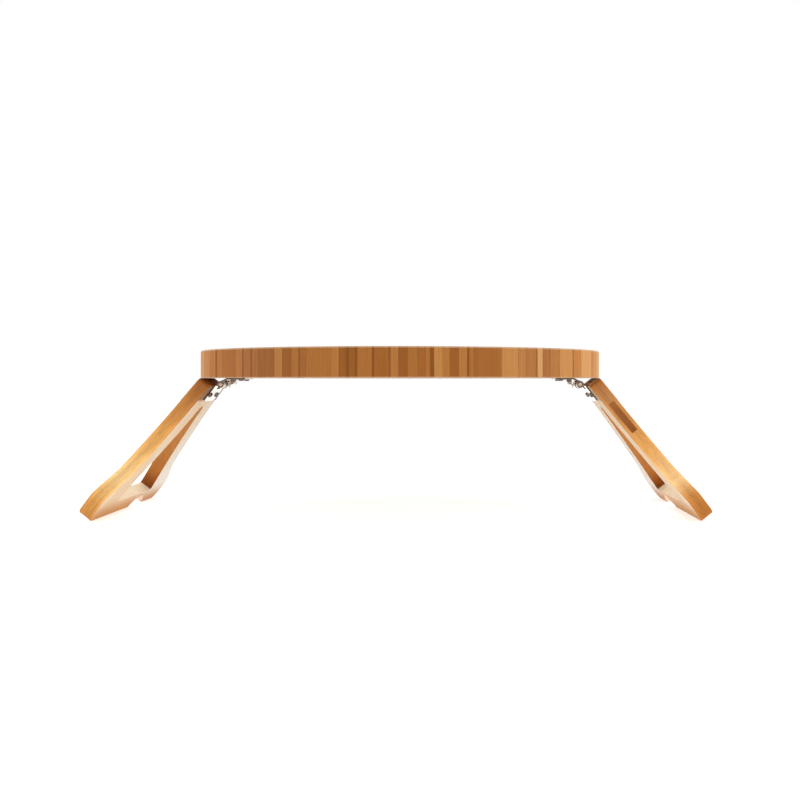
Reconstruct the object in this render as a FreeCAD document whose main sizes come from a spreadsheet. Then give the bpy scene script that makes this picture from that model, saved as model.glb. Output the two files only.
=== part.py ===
"""Oval bamboo bed tray on two splayed folding legs. Millimetres, +Z up, +X along the tray.

The origin is on the floor below the middle of the tray. Each side's parts are drawn in the right-hand
place; the left ones are then turned half round about Z.
"""
import FreeCAD, Part
import math
import os

import Sketcher
from FreeCAD import Placement, Rotation, Vector

doc = FreeCAD.newDocument("bed_tray")

# ---------------------------------------------------------------- driving sizes
SIZES = [
    # tray
    ("tray_length", 552.0), ("tray_width", 356.0), ("rim_height", 36.6), ("rim_wall", 13.0),
    ("rim_ease", 2.0), ("rim_under_ease", 0.8), ("seam_place", 132.0),
    ("panel_thickness", 8.0), ("panel_tongue", 6.0), ("panel_seat", 5.0), ("glue_gap", 0.1),
    ("dowel_radius", 2.0), ("dowel_length", 16.0), ("dowel_low", 14.0), ("dowel_high", 26.0),
    # leg boards
    ("leg_length", 218.0), ("leg_thickness", 19.0), ("leg_splay", 37.5), ("leg_ease", 1.2),
    ("top_width", 66.0), ("neck_width", 85.0), ("neck_length", 50.0), ("flare_radius", 640.0),
    ("ankle_width", 146.0), ("ankle_height", 68.0), ("shoulder_width", 208.0),
    ("foot_height", 34.0), ("foot_width", 204.0),
    ("top_round", 6.0), ("ankle_round", 14.0), ("shoulder_round", 16.0), ("foot_round", 12.0),
    ("crown_length", 37.0), ("crown_width", 9.0), ("side_rail", 35.0), ("foot_rail", 23.0),
    ("foot_post", 48.0), ("crown_round", 3.5), ("window_round", 4.0),
    ("notch_width", 44.0), ("notch_height", 17.0), ("notch_back", 34.0), ("notch_round", 2.0),
    # where a leg bears on the rim
    ("stop_inset", 3.0), ("stop_gap", 0.2),
    # hinge
    ("pivot_drop", 9.0), ("pivot_offset", 6.0), ("plate_thickness", 2.0), ("hinge_width", 40.0),
    ("knuckle_radius", 4.75), ("knuckle_width", 21.6), ("knuckle_gap", 0.2),
    ("pin_radius", 2.7), ("pin_proud", 0.5), ("pin_chamfer", 0.4), ("running_gap", 0.05),
    ("tray_leaf_length", 35.0), ("joggle_length", 9.0), ("joggle_slack", 0.6),
    ("leg_leaf_length", 25.0), ("leaf_shoulder", 5.6), ("leaf_window_width", 14.0),
    ("leaf_window_end", 11.5), ("leaf_round", 3.0), ("through_spare", 1.0),
    # catch
    ("cam_radius", 5.6), ("cam_width", 11.0), ("cam_notch", 1.5), ("cam_notch_set", 0.9),
    ("catch_width", 11.6), ("catch_thickness", 1.6), ("catch_back", 12.5), ("catch_drop", 6.6),
    ("catch_barrel", 2.1), ("catch_pin_radius", 1.1), ("catch_knee_out", 4.0),
    ("catch_knee_down", 3.2), ("catch_tail_out", 5.2), ("catch_tail_down", 7.2),
    ("catch_nose", 1.7), ("catch_nose_out", 4.9), ("catch_nose_down", 3.3),
    ("ear_thickness", 1.5), ("ear_reach", 2.4),
    ("spring_thickness", 0.6), ("spring_width", 10.0), ("spring_gap", 0.3), ("spring_foot", 4.0),
    ("spring_tip_rise", 0.5), ("spring_tip_lean", 0.1),
    ("rivet_place", 22.0), ("rivet_radius", 1.4), ("rivet_head", 2.2), ("rivet_crown", 1.3),
    ("rivet_head_height", 1.0),
    # screws
    ("screw_radius", 1.75), ("screw_head", 4.0), ("screw_head_top", 3.0), ("screw_head_height", 2.2),
    ("recess_width", 1.1), ("recess_length", 4.2), ("recess_depth", 1.2),
    ("screw_spread", 27.0), ("tray_screw_place", 27.0), ("leg_screw_place", 14.0),
    ("tray_screw_length", 8.6), ("leg_screw_length", 14.0), ("pilot_spare", 0.6),
]

# sizes that follow from the ones above; angles are in degrees
WORKED_OUT = [
    ("round_loss", "leg_ease * (sin(leg_splay) + cos(leg_splay) - 1)"),
    ("leg_top_z", "leg_length * cos(leg_splay) + leg_thickness * sin(leg_splay) - round_loss"),
    ("underside", "leg_top_z - round_loss + stop_gap"),
    ("stop_x", "tray_length / 2 - stop_inset"),
    ("pivot_back", "leg_thickness + pivot_offset"),
    ("pivot_z", "underside - pivot_drop"),
    ("pivot_above", "(pivot_z - leg_top_z + pivot_back * sin(leg_splay)) / cos(leg_splay)"),
    ("pivot_x", "stop_x - pivot_back * cos(leg_splay) - pivot_above * sin(leg_splay)"),
    ("notch_radius", "(notch_width * notch_width / 4 + notch_height * notch_height) / (2 * notch_height)"),
]

sizes = doc.addObject("Spreadsheet::Sheet", "Sizes")
ALIASES = [alias for alias, _ in SIZES + WORKED_OUT]
for row, (alias, number) in enumerate(SIZES, start=1):
    sizes.set(f"A{row}", alias)
    sizes.set(f"B{row}", str(number))
    sizes.setAlias(f"B{row}", alias)
for row, (alias, formula) in enumerate(WORKED_OUT, start=len(SIZES) + 1):
    sizes.set(f"A{row}", alias)
    sizes.setAlias(f"B{row}", alias)
    sizes.set(f"B{row}", "=" + formula)
doc.recompute()


def size(alias):
    """One size, read from the sheet."""
    return float(sizes.get(alias))


def work_out(expression):
    """The number that a formula of sizes gives."""
    for alias in sorted(ALIASES, key=len, reverse=True):
        expression = expression.replace("Sizes." + alias, repr(size(alias)))
    return float(sizes.evalExpression(expression))


def S(formula):
    """Write the sheet's name before each alias in a formula."""
    words = formula.replace("(", " ( ").replace(")", " ) ").split()
    return " ".join("Sizes." + word if word in ALIASES else word for word in words)


# ---------------------------------------------------------------- the frames that parts are drawn in
print("underside", round(size("underside"), 3), "pivot", round(size("pivot_x"), 3), round(size("pivot_z"), 3))
print("pivot above leg top", round(size("pivot_above"), 3), "fold", round(90.0 + size("leg_splay"), 2))

LEG_TURN = Rotation(Vector(0, 1, 0), -size("leg_splay"))
PIVOT = Vector(size("pivot_x"), 0, size("pivot_z"))
TRAY_FRAME = Placement(Vector(0, 0, size("underside")), Rotation())
HINGE_FRAME = Placement(PIVOT, Rotation())
LEG_FRAME = Placement(Vector(size("stop_x"), 0, size("leg_top_z")), LEG_TURN)
LEG_HINGE_FRAME = Placement(PIVOT, LEG_TURN)
CATCH_PIVOT = Vector(-size("catch_back"), 0, size("pivot_drop") - size("catch_drop"))
SIDES = {"right": Placement(), "left": Placement(Vector(), Rotation(Vector(0, 0, 1), 180))}

exported = []


# ---------------------------------------------------------------- helpers
def keep(obj, label, place=None):
    """Name a finished sub-part and put it in its place."""
    obj.Label = label
    if place is not None:
        obj.Placement = place
    exported.append(obj)
    return obj


def plane_of(body, role):
    return next(feature for feature in body.Origin.OriginFeatures if feature.Role == role)


def new_sketch(body, name, role):
    sketch = body.newObject("Sketcher::SketchObject", name)
    sketch.AttachmentSupport = [(plane_of(body, role), "")]
    sketch.MapMode = "FlatFace"
    return sketch


def bind(sketch, kind, args, formula, tag):
    """Add one size constraint and tie it to its formula."""
    index = sketch.addConstraint(Sketcher.Constraint(kind, *args, work_out(S(formula))))
    sketch.renameConstraint(index, tag)
    sketch.setExpression("Constraints." + tag, S(formula))


def arc_between(start, end, radius, turn):
    """An arc from start to end; turn +1 bends left on the way, -1 bends right."""
    middle = (start + end) * 0.5
    chord = end - start
    rise = math.sqrt(max(radius ** 2 - (chord.Length / 2) ** 2, 0.0))
    left = Vector(-chord.y, chord.x, 0).normalize()
    centre = middle + left * (rise * turn)
    circle = Part.Circle(centre, Vector(0, 0, 1), radius)
    first, last = (start, end) if turn > 0 else (end, start)
    angles = [math.atan2(p.y - centre.y, p.x - centre.x) for p in (first, last)]
    if angles[1] <= angles[0]:
        angles[1] += 2 * math.pi
    return Part.ArcOfCircle(circle, *angles)


def closed_outline(sketch, tag, corners):
    """Draw a closed outline of (x formula, y formula[, radius formula, turn]) corners."""
    points = [Vector(work_out(S(c[0])), work_out(S(c[1])), 0) for c in corners]
    spans = []
    for index, corner in enumerate(corners):
        start, end = points[index], points[(index + 1) % len(points)]
        if len(corner) == 2:
            geometry = sketch.addGeometry(Part.LineSegment(start, end), False)
            spans.append((geometry, 1, 2))
        else:
            arc = arc_between(start, end, work_out(S(corner[2])), corner[3])
            geometry = sketch.addGeometry(arc, False)
            spans.append((geometry, 1, 2) if corner[3] > 0 else (geometry, 2, 1))
    for index, span in enumerate(spans):
        following = spans[(index + 1) % len(spans)]
        sketch.addConstraint(Sketcher.Constraint("Coincident", span[0], span[2], following[0], following[1]))
    for index, (span, corner) in enumerate(zip(spans, corners)):
        for kind, formula, axis in (("DistanceX", corner[0], -2), ("DistanceY", corner[1], -1)):
            if formula == "0":
                sketch.addConstraint(Sketcher.Constraint("PointOnObject", span[0], span[1], axis))
            else:
                bind(sketch, kind, (-1, 1, span[0], span[1]), formula, f"{tag}_{kind[-1].lower()}{index}")
        if len(corner) > 2:
            bind(sketch, "Radius", (span[0],), corner[2], f"{tag}_r{index}")


def circle_at(sketch, tag, x, y, radius):
    """Draw a circle; x, y and radius are formulas."""
    centre = Vector(work_out(S(x)), work_out(S(y)), 0)
    geometry = sketch.addGeometry(Part.Circle(centre, Vector(0, 0, 1), work_out(S(radius))), False)
    for kind, formula, axis in (("DistanceX", x, -2), ("DistanceY", y, -1)):
        if formula == "0":
            sketch.addConstraint(Sketcher.Constraint("PointOnObject", geometry, 3, axis))
        else:
            bind(sketch, kind, (-1, 1, geometry, 3), formula, f"{tag}_{kind[-1].lower()}")
    bind(sketch, "Radius", (geometry,), radius, f"{tag}_r")


def thicken(body, kind, name, sketch, length, side="Symmetric", reverse=False):
    """Pad or pocket a sketch by a length formula."""
    feature = body.newObject("PartDesign::" + kind, name)
    feature.Profile = sketch
    feature.SideType = side
    feature.Type = "Length"
    feature.Length = work_out(S(length))
    feature.setExpression("Length", S(length))
    feature.Reversed = reverse
    doc.recompute()
    return feature


def pocket_checked(body, name, sketch, length, side="Symmetric", reverse=False):
    """A pocket that is sure to have cut something."""
    before = body.Shape.Volume
    feature = thicken(body, "Pocket", name, sketch, length, side, reverse)
    assert body.Shape.Volume < before - 1e-6, f"{body.Name} {name} cut nothing"
    return feature


def ease(body, base, name, radius, wanted):
    """Round the edges of the body's last feature that the test picks."""
    names = [f"Edge{i}" for i, edge in enumerate(base.Shape.Edges, start=1) if wanted(edge)]
    assert names, f"{name} has no edges"
    feature = body.newObject("PartDesign::Fillet", name)
    feature.Base = (base, names)
    feature.Radius = size(radius)
    feature.setExpression("Radius", S(radius))
    doc.recompute()
    return feature


def near(a, b, slack=0.01):
    return abs(a - b) < slack


def runs_along(edge, direction):
    """True for a straight edge that runs along a direction."""
    if not isinstance(edge.Curve, Part.Line):
        return False
    return abs(edge.Curve.Direction.dot(direction)) > 0.999


def cylinder(name, radius, height, centre, axis):
    """A Part cylinder, centred on a point, along an axis."""
    rod = doc.addObject("Part::Cylinder", name)
    rod.setExpression("Radius", S(radius))
    rod.setExpression("Height", S(height))
    turn = Rotation(Vector(0, 0, 1), axis)
    rod.Placement = Placement(centre - axis * (work_out(S(height)) / 2), turn)
    return rod


def cut(name, base, tool):
    result = doc.addObject("Part::Cut", name)
    result.Base = base
    result.Tool = tool
    return result


def fuse(name, pieces):
    result = doc.addObject("Part::MultiFuse", name)
    result.Shapes = pieces
    return result


def group(name, pieces):
    result = doc.addObject("Part::Compound", name)
    result.Links = pieces
    return result


# ---------------------------------------------------------------- tray rim and panel
def oval(name, inset, height, base_z=0.0):
    """A solid oval as long as the tray less an inset all round."""
    curve = doc.addObject("Part::Ellipse", name + "_curve")
    curve.setExpression("MajorRadius", S(f"tray_length / 2 - ( {inset} )"))
    curve.setExpression("MinorRadius", S(f"tray_width / 2 - ( {inset} )"))
    curve.Placement.Base = Vector(0, 0, base_z)
    solid = doc.addObject("Part::Extrusion", name)
    solid.Base = curve
    solid.DirMode = "Custom"
    solid.Dir = Vector(0, 0, 1)
    solid.Solid = True
    solid.setExpression("LengthFwd", S(height))
    return solid


def seam_points(height):
    """The middle of the rim's wall at the four seams."""
    half_length = (size("tray_length") - size("rim_wall")) / 2
    half_width = (size("tray_width") - size("rim_wall")) / 2
    depth = half_width * math.sqrt(1 - (size("seam_place") / half_length) ** 2)
    return [Vector(x * size("seam_place"), y * depth, height) for x in (-1, 1) for y in (-1, 1)]


def rods_in_seams(name, radius, length):
    along = Vector(1, 0, 0)
    places = seam_points(size("dowel_low")) + seam_points(size("dowel_high"))
    return group(name, [cylinder(f"{name}_{i}", radius, length, p, along) for i, p in enumerate(places)])


ring = cut("rim_ring", oval("rim_outer", "0", "rim_height"), oval("rim_inner", "rim_wall", "rim_height"))
rim_blank = cut("rim_blank", ring, oval("panel_rebate", "rim_wall - panel_seat", "panel_tongue"))
rim_bored = cut("rim_bored", rim_blank, rods_in_seams("dowel_bore", "dowel_radius + running_gap",
                                                      "dowel_length + glue_gap"))


def rim_segment(label, x, y, length, width):
    """One length of the rim between two seams; the arguments are formulas."""
    block = doc.addObject("Part::Box", label + "_block")
    block.setExpression("Length", S(length))
    block.setExpression("Width", S(width))
    block.setExpression("Height", S("rim_height"))
    block.setExpression("Placement.Base.x", S(x))
    block.setExpression("Placement.Base.y", S(y))
    piece = doc.addObject("Part::Common", label + "_raw")
    piece.Base = rim_bored
    piece.Tool = block
    doc.recompute()
    edges = []
    for number, edge in enumerate(piece.Shape.Edges, start=1):
        box = edge.BoundBox
        curved = edge.Length > size("seam_place") and box.YLength > size("rim_ease")
        if curved and near(box.ZMin, size("rim_height")) and near(box.ZMax, size("rim_height")):
            edges.append((number, size("rim_ease"), size("rim_ease")))
        middle = edge.valueAt((edge.FirstParameter + edge.LastParameter) / 2)
        reach = (2 * middle.x / size("tray_length")) ** 2 + (2 * middle.y / size("tray_width")) ** 2
        if curved and near(box.ZMax, 0) and near(reach, 1.0):
            edges.append((number, size("rim_under_ease"), size("rim_under_ease")))
    eased = doc.addObject("Part::Fillet", label)
    eased.Base = piece
    eased.Edges = edges
    return keep(eased, label, TRAY_FRAME)


rim_segment("rim_front", "- seam_place", "- tray_width", "2 * seam_place", "tray_width")
rim_segment("rim_back", "- seam_place", "0", "2 * seam_place", "tray_width")
rim_segment("rim_left_end", "- tray_length", "- tray_width", "tray_length - seam_place", "2 * tray_width")
rim_segment("rim_right_end", "seam_place", "- tray_width", "tray_length - seam_place", "2 * tray_width")
keep(rods_in_seams("rim_dowels", "dowel_radius", "dowel_length"), "rim_dowels", TRAY_FRAME)

panel = fuse("panel", [oval("panel_lower", "rim_wall - panel_seat + glue_gap", "panel_tongue"),
                       oval("panel_upper", "rim_wall + glue_gap", "panel_thickness")])
panel_bores = []
for side, turn in SIDES.items():
    for front_back in (-1, 1):
        spot = Vector(PIVOT.x - size("tray_screw_place"), front_back * size("screw_spread") / 2, 0)
        depth = "tray_screw_length - plate_thickness + pilot_spare"
        bore = cylinder(f"panel_bore_{side}_{front_back + 1}", "screw_radius + running_gap",
                        f"2 * ( {depth} )", turn.multVec(spot), Vector(0, 0, 1))
        panel_bores.append(bore)
keep(cut("tray_panel", panel, group("panel_bores", panel_bores)), "tray_panel", TRAY_FRAME)


# ---------------------------------------------------------------- leg boards
HALF_LEG = [
    ("top_width / 2", "0"),
    ("neck_width / 2", "neck_length"),
    ("ankle_width / 2", "leg_length - ankle_height"),
    ("shoulder_width / 2", "leg_length - foot_height"),
    ("foot_width / 2", "leg_length"),
]
HALF_WINDOW = [
    ("crown_width / 2", "crown_length"),
    ("ankle_width / 2 - side_rail", "leg_length - ankle_height"),
    ("shoulder_width / 2 - foot_post", "leg_length - foot_rail"),
]


def both_halves(half, curved, foot=()):
    """A closed outline from the front half's (width, depth) formulas and its mirror image.

    curved is the number of the corner whose span to the next corner is an arc that bends inwards;
    foot holds further corners between the two halves.
    """
    front = [(f"- ( {width} )", f"- ( {depth} )") for width, depth in half]
    rear = [(width, f"- ( {depth} )") for width, depth in reversed(half)]
    front[curved] += ("flare_radius", -1)
    rear[len(half) - 2 - curved] += ("flare_radius", -1)
    return front + list(foot) + rear


def leg_board(side, turn):
    """A flat board, narrow at the hinge and flared to the foot, with a flared window and a foot notch."""
    body = doc.addObject("PartDesign::Body", side + "_leg")
    outline = new_sketch(body, side + "_leg_outline", "YZ_Plane")
    back = "notch_back" if side == "right" else "- notch_back"   # both notches lie behind the middle
    notch = [(f"{back} - notch_width / 2", "- leg_length", "notch_radius", -1),
             (f"{back} + notch_width / 2", "- leg_length")]
    closed_outline(outline, "edge", both_halves(HALF_LEG, 1, notch))
    closed_outline(outline, "window", both_halves(HALF_WINDOW, 0))
    doc.recompute()
    blank = thicken(body, "Pad", side + "_leg_blank", outline, "leg_thickness", "One side", True)
    across = Vector(1, 0, 0)

    def at_corners(places):
        spots = [(work_out(S(y)), work_out(S(z))) for y, z in places]

        def wanted(edge):
            point = edge.Vertexes[0].Point
            return runs_along(edge, across) and any(near(point.y, y) and near(point.z, z) for y, z in spots)
        return wanted

    def both(corner):
        width, depth = corner
        return [(f"- ( {width} )", f"- ( {depth} )"), (width, f"- ( {depth} )")]

    rounds = [
        ("ankle", "ankle_round", both(HALF_LEG[2])),
        ("shoulder", "shoulder_round", both(HALF_LEG[3])),
        ("foot", "foot_round", both(HALF_LEG[4])),
        ("notch", "notch_round", [corner[:2] for corner in notch]),
        ("top", "top_round", both(HALF_LEG[0])),
        ("crown", "crown_round", both(HALF_WINDOW[0])),
        ("window", "window_round", both(HALF_WINDOW[2])),
    ]
    last = blank
    for name, radius, places in rounds:
        last = ease(body, last, f"{side}_{name}_round", radius, at_corners(places))
    thickness = size("leg_thickness")

    def on_a_face(edge):
        box = edge.BoundBox
        return near(box.XLength, 0) and (near(box.XMin, 0) or near(box.XMin, -thickness))

    last = ease(body, last, side + "_leg_ease", "leg_ease", on_a_face)
    pilots = new_sketch(body, side + "_leg_pilots", "YZ_Plane")
    place = "- leg_screw_place"
    for tag, y in (("front", "- screw_spread / 2"), ("rear", "screw_spread / 2")):
        circle_at(pilots, tag, y, place, "screw_radius + running_gap")
    depth = "leg_screw_length - plate_thickness + pilot_spare"
    pilots.AttachmentOffset = Placement(Vector(0, 0, -thickness), Rotation())
    pilots.setExpression("AttachmentOffset.Base.z", S("- leg_thickness"))
    doc.recompute()
    pocket_checked(body, side + "_leg_pilot_holes", pilots, depth, "One side", True)
    return keep(body, side + "_leg", turn.multiply(LEG_FRAME))


# ---------------------------------------------------------------- hinge plates
def tray_leaf(side, turn):
    """The plate under the tray, joggled down to two knuckles, with ears for the catch."""
    body = doc.addObject("PartDesign::Body", side + "_tray_leaf")
    under = "pivot_drop - plate_thickness"
    strip = new_sketch(body, side + "_strip", "XZ_Plane")
    closed_outline(strip, "strip", [
        ("- tray_leaf_length", "pivot_drop"),
        ("- tray_leaf_length", under),
        ("- joggle_length - joggle_slack", under),
        ("0", "knuckle_radius - plate_thickness"),
        ("0", "knuckle_radius"),
        ("- joggle_length", "pivot_drop"),
    ])
    doc.recompute()
    thicken(body, "Pad", side + "_strip_pad", strip, "hinge_width")
    barrel = new_sketch(body, side + "_barrel", "XZ_Plane")
    circle_at(barrel, "barrel", "0", "0", "knuckle_radius")
    doc.recompute()
    thicken(body, "Pad", side + "_barrel_pad", barrel, "hinge_width")
    gap = new_sketch(body, side + "_middle_gap", "XZ_Plane")
    closed_outline(gap, "gap", [
        ("- knuckle_radius - 3 * knuckle_gap", "- pivot_drop"),
        ("pivot_drop", "- pivot_drop"),
        ("pivot_drop", "pivot_drop + plate_thickness"),
        ("- knuckle_radius - 3 * knuckle_gap", "pivot_drop + plate_thickness"),
    ])
    doc.recompute()
    pocket_checked(body, side + "_middle_slot", gap, "knuckle_width + 2 * knuckle_gap")
    ear = new_sketch(body, side + "_ear", "XZ_Plane")
    centre_z = "pivot_drop - catch_drop"
    closed_outline(ear, "ear", [
        ("- catch_back - ear_reach", under),
        ("- catch_back - ear_reach", centre_z),
        ("- catch_back + ear_reach", centre_z),
        ("- catch_back + ear_reach", under),
    ])
    ear_end = new_sketch(body, side + "_ear_end", "XZ_Plane")
    circle_at(ear_end, "end", "- catch_back", centre_z, "ear_reach")
    doc.recompute()
    ears_width = "catch_width + 4 * knuckle_gap + 2 * ear_thickness"
    thicken(body, "Pad", side + "_ears", ear, ears_width)
    thicken(body, "Pad", side + "_ear_ends", ear_end, ears_width)
    between = new_sketch(body, side + "_between_ears", "XZ_Plane")
    closed_outline(between, "between", [
        ("- catch_back - 2 * ear_reach", under),
        ("- catch_back - 2 * ear_reach", "- pivot_drop"),
        ("- catch_back + ear_reach + knuckle_gap", "- pivot_drop"),
        ("- catch_back + ear_reach + knuckle_gap", under),
    ])
    doc.recompute()
    pocket_checked(body, side + "_ear_gap", between, "catch_width + 4 * knuckle_gap")
    bore = new_sketch(body, side + "_bore", "XZ_Plane")
    circle_at(bore, "pin", "0", "0", "pin_radius + running_gap")
    circle_at(bore, "catch", "- catch_back", centre_z, "catch_pin_radius")
    doc.recompute()
    pocket_checked(body, side + "_pin_bore", bore, "hinge_width + 2 * through_spare")
    holes = new_sketch(body, side + "_holes", "XY_Plane")
    for tag, y in (("front", "- screw_spread / 2"), ("rear", "screw_spread / 2")):
        circle_at(holes, tag, "- tray_screw_place", y, "screw_radius + running_gap")
    circle_at(holes, "rivet", "- rivet_place", "0", "rivet_radius + running_gap")
    doc.recompute()
    last = pocket_checked(body, side + "_leaf_holes", holes, "2 * pivot_drop + 2 * through_spare")

    def free_corner(edge):
        return runs_along(edge, Vector(0, 0, 1)) and near(edge.Vertexes[0].X, -size("tray_leaf_length"))

    ease(body, last, side + "_leaf_corners", "leaf_round", free_corner)
    return keep(body, side + "_tray_leaf", turn.multiply(HINGE_FRAME))


def leg_leaf(side, turn):
    """The plate on the leg, with one knuckle, a notched cam and a slot for the catch's tail."""
    body = doc.addObject("PartDesign::Body", side + "_leg_leaf")
    plate = new_sketch(body, side + "_plate", "YZ_Plane")
    half, narrow = "hinge_width / 2", "knuckle_width / 2"
    foot = "- pivot_above - leg_leaf_length"
    closed_outline(plate, "plate", [
        (f"- {narrow}", "0"),
        (f"- {narrow}", "- leaf_shoulder"),
        (f"- {half}", "- leaf_shoulder"),
        (f"- {half}", foot),
        (half, foot),
        (half, "- leaf_shoulder"),
        (narrow, "- leaf_shoulder"),
        (narrow, "0"),
    ])
    closed_outline(plate, "slot", [
        ("- leaf_window_width / 2", "- knuckle_radius - knuckle_gap"),
        ("- leaf_window_width / 2", "- leaf_window_end"),
        ("leaf_window_width / 2", "- leaf_window_end"),
        ("leaf_window_width / 2", "- knuckle_radius - knuckle_gap"),
    ])
    for tag, y in (("front", "- screw_spread / 2"), ("rear", "screw_spread / 2")):
        circle_at(plate, tag, y, "- pivot_above - leg_screw_place", "screw_radius + running_gap")
    offset = "pivot_offset - plate_thickness"
    plate.AttachmentOffset = Placement(Vector(0, 0, work_out(S(offset))), Rotation())
    plate.setExpression("AttachmentOffset.Base.z", S(offset))
    doc.recompute()
    last = thicken(body, "Pad", side + "_plate_pad", plate, "plate_thickness", "One side", False)
    foot_z = work_out(S(foot))

    def free_corner(edge):
        return runs_along(edge, Vector(1, 0, 0)) and near(edge.Vertexes[0].Z, foot_z)

    ease(body, last, side + "_plate_corners", "leaf_round", free_corner)
    knuckle = new_sketch(body, side + "_knuckle", "XZ_Plane")
    circle_at(knuckle, "knuckle", "0", "0", "knuckle_radius")
    doc.recompute()
    thicken(body, "Pad", side + "_knuckle_pad", knuckle, "knuckle_width")
    cam = new_sketch(body, side + "_cam", "XZ_Plane")
    circle_at(cam, "cam", "0", "0", "cam_radius")
    doc.recompute()
    thicken(body, "Pad", side + "_cam_pad", cam, "cam_width")
    notches = new_sketch(body, side + "_cam_notches", "XZ_Plane")
    nose = CATCH_PIVOT + Vector(size("catch_nose_out"), 0, -size("catch_nose_down"))
    open_angle = math.degrees(math.atan2(nose.z, nose.x)) - size("leg_splay")
    for tag, degrees in (("open", open_angle), ("folded", open_angle + 90.0 + size("leg_splay"))):
        reach = "( cam_radius + cam_notch_set )"
        cosine, sine = math.cos(math.radians(degrees)), math.sin(math.radians(degrees))
        circle_at(notches, tag, f"{reach} * {cosine:.6f}", f"{reach} * {sine:.6f}", "cam_notch")
    doc.recompute()
    pocket_checked(body, side + "_notch_cut", notches, "cam_width")
    bore = new_sketch(body, side + "_leg_leaf_bore", "XZ_Plane")
    circle_at(bore, "pin", "0", "0", "pin_radius + running_gap")
    doc.recompute()
    pocket_checked(body, side + "_knuckle_bore", bore, "knuckle_width + 2 * through_spare")
    return keep(body, side + "_leg_leaf", turn.multiply(LEG_HINGE_FRAME))


def hinge_pin(side, turn):
    """The pin through the knuckles, with eased ends."""
    rod = cylinder(side + "_pin_rod", "pin_radius", "hinge_width + 2 * pin_proud", Vector(), Vector(0, 1, 0))
    doc.recompute()
    bevel = size("pin_chamfer")
    ends = [(number, bevel, bevel) for number, edge in enumerate(rod.Shape.Edges, start=1)
            if isinstance(edge.Curve, Part.Circle)]
    pin = doc.addObject("Part::Chamfer", side + "_hinge_pin")
    pin.Base = rod
    pin.Edges = ends
    return keep(pin, side + "_hinge_pin", turn.multiply(HINGE_FRAME))


# ---------------------------------------------------------------- catch
def catch(side, turn):
    """The catch: a barrel on its pin, a nose by the cam and a tail for the finger."""
    body = doc.addObject("PartDesign::Body", side + "_catch")
    blade = new_sketch(body, side + "_blade", "XZ_Plane")
    closed_outline(blade, "blade", [
        ("catch_thickness / 2", "catch_thickness / 4"),
        ("catch_knee_out", "- catch_knee_down"),
        ("catch_tail_out", "- catch_tail_down"),
        ("catch_tail_out - catch_thickness", "- catch_tail_down"),
        ("catch_knee_out - catch_thickness", "- catch_knee_down - catch_thickness / 2"),
        ("- catch_thickness / 2", "- catch_thickness / 4"),
    ])
    doc.recompute()
    thicken(body, "Pad", side + "_blade_pad", blade, "catch_width")
    rolls = new_sketch(body, side + "_rolls", "XZ_Plane")
    circle_at(rolls, "barrel", "0", "0", "catch_barrel")
    doc.recompute()
    thicken(body, "Pad", side + "_barrel_roll", rolls, "catch_width")
    nose = new_sketch(body, side + "_nose", "XZ_Plane")
    circle_at(nose, "nose", "catch_nose_out", "- catch_nose_down", "catch_nose")
    doc.recompute()
    thicken(body, "Pad", side + "_nose_roll", nose, "catch_width")
    bore = new_sketch(body, side + "_catch_bore", "XZ_Plane")
    circle_at(bore, "pin", "0", "0", "catch_pin_radius + running_gap")
    doc.recompute()
    pocket_checked(body, side + "_catch_bored", bore, "catch_width + 2 * through_spare")
    own = Placement(CATCH_PIVOT, Rotation())
    return keep(body, side + "_catch", turn.multiply(HINGE_FRAME).multiply(own))


def catch_pin(side, turn):
    length = "catch_width + 4 * knuckle_gap + 2 * ear_thickness"
    rod = cylinder(side + "_catch_pin", "catch_pin_radius", length, Vector(), Vector(0, 1, 0))
    start = CATCH_PIVOT - Vector(0, work_out(S(length)) / 2, 0)
    place = Placement(start, Rotation(Vector(0, 0, 1), Vector(0, 1, 0)))
    return keep(rod, side + "_catch_pin", turn.multiply(HINGE_FRAME).multiply(place))


def catch_spring(side, turn):
    """A flat spring under the tray leaf whose free end stands by the catch's barrel."""
    body = doc.addObject("PartDesign::Body", side + "_catch_spring")
    under = "pivot_drop - plate_thickness"
    tip = "- catch_back - catch_barrel - spring_gap"
    strip = new_sketch(body, side + "_spring_strip", "XZ_Plane")
    closed_outline(strip, "spring", [
        ("- rivet_place - spring_foot", under),
        ("- rivet_place - spring_foot", f"{under} - spring_thickness"),
        ("- rivet_place + spring_foot", f"{under} - spring_thickness"),
        (f"{tip} - spring_tip_lean", "pivot_drop - catch_drop - spring_tip_rise"),
        (tip, "pivot_drop - catch_drop + spring_tip_rise"),
        ("- rivet_place + spring_foot + spring_thickness / 2", under),
    ])
    doc.recompute()
    thicken(body, "Pad", side + "_spring_pad", strip, "spring_width")
    hole = new_sketch(body, side + "_spring_hole", "XY_Plane")
    circle_at(hole, "rivet", "- rivet_place", "0", "rivet_radius + running_gap")
    doc.recompute()
    pocket_checked(body, side + "_spring_holed", hole, "2 * pivot_drop + 2 * through_spare")
    return keep(body, side + "_catch_spring", turn.multiply(HINGE_FRAME))


def spring_rivet(side, turn):
    """A domed rivet that holds the spring to the tray leaf."""
    shank = doc.addObject("Part::Cylinder", side + "_rivet_shank")
    shank.setExpression("Radius", S("rivet_radius"))
    shank.setExpression("Height", S("plate_thickness + spring_thickness"))
    head = doc.addObject("Part::Cone", side + "_rivet_head")
    head.setExpression("Radius1", S("rivet_crown"))
    head.setExpression("Radius2", S("rivet_head"))
    head.setExpression("Height", S("rivet_head_height"))
    head.setExpression("Placement.Base.z", S("- rivet_head_height"))
    rivet = fuse(side + "_spring_rivet", [shank, head])
    z = size("pivot_drop") - size("plate_thickness") - size("spring_thickness")
    own = Placement(Vector(-size("rivet_place"), 0, z), Rotation())
    return keep(rivet, side + "_spring_rivet", turn.multiply(HINGE_FRAME).multiply(own))


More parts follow.
